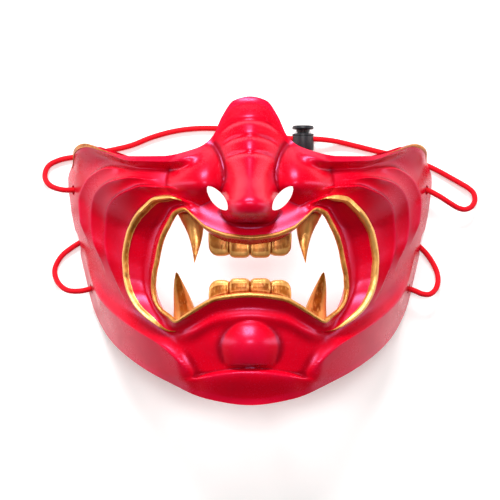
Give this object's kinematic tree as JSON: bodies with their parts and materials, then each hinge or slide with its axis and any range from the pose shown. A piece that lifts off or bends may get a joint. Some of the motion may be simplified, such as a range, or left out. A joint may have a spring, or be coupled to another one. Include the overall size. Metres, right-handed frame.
{
  "type": "samurai face guard",
  "caption": "Hollow lacquered half-face guard with a nose and an open snarling mouth, gilt beads, teeth and fangs, and an elastic cord with a sprung barrel lock.",
  "frame": {"origin": "centre of the guard's box at its base, the plane of the rear rim that it lies on", "axes": "+X across the face towards the wearer's left, +Y from chin to nose bridge, +Z out of the face"},
  "size_m": [0.2262, 0.15, 0.099],
  "materials": {
    "red_lacquer": "semi-gloss crimson lacquer on cast resin",
    "worn_gilt": "hand-brushed gold paint on cast resin, worn at the edges",
    "red_elastic": "braided round elastic",
    "black_plastic": "moulded, satin"
  },
  "bodies": {
    "guard": {"shell": "red_lacquer", "mouth_trim_upper": "worn_gilt", "mouth_trim_lower": "worn_gilt", "fold_trim_left": "worn_gilt", "fold_trim_right": "worn_gilt", "flange_trim_left": "worn_gilt", "flange_trim_right": "worn_gilt", "upper_tooth_row": "worn_gilt", "lower_tooth_row": "worn_gilt", "upper_fang_left": "worn_gilt", "upper_fang_right": "worn_gilt", "lower_fang_left": "worn_gilt", "lower_fang_right": "worn_gilt", "upper_cord": "red_elastic", "lower_cord": "red_elastic", "cord_lock_body": "black_plastic"},
    "lock_button": {"cord_lock_button": "black_plastic"}
  },
  "joints": [
    {"name": "lock_press", "type": "slide", "parent": "guard", "child": "lock_button", "axis": [0, -1, 0], "range_m": [0, 0.002], "stiffness_N_per_m": 300, "springref_m": -0.002}
  ]
}
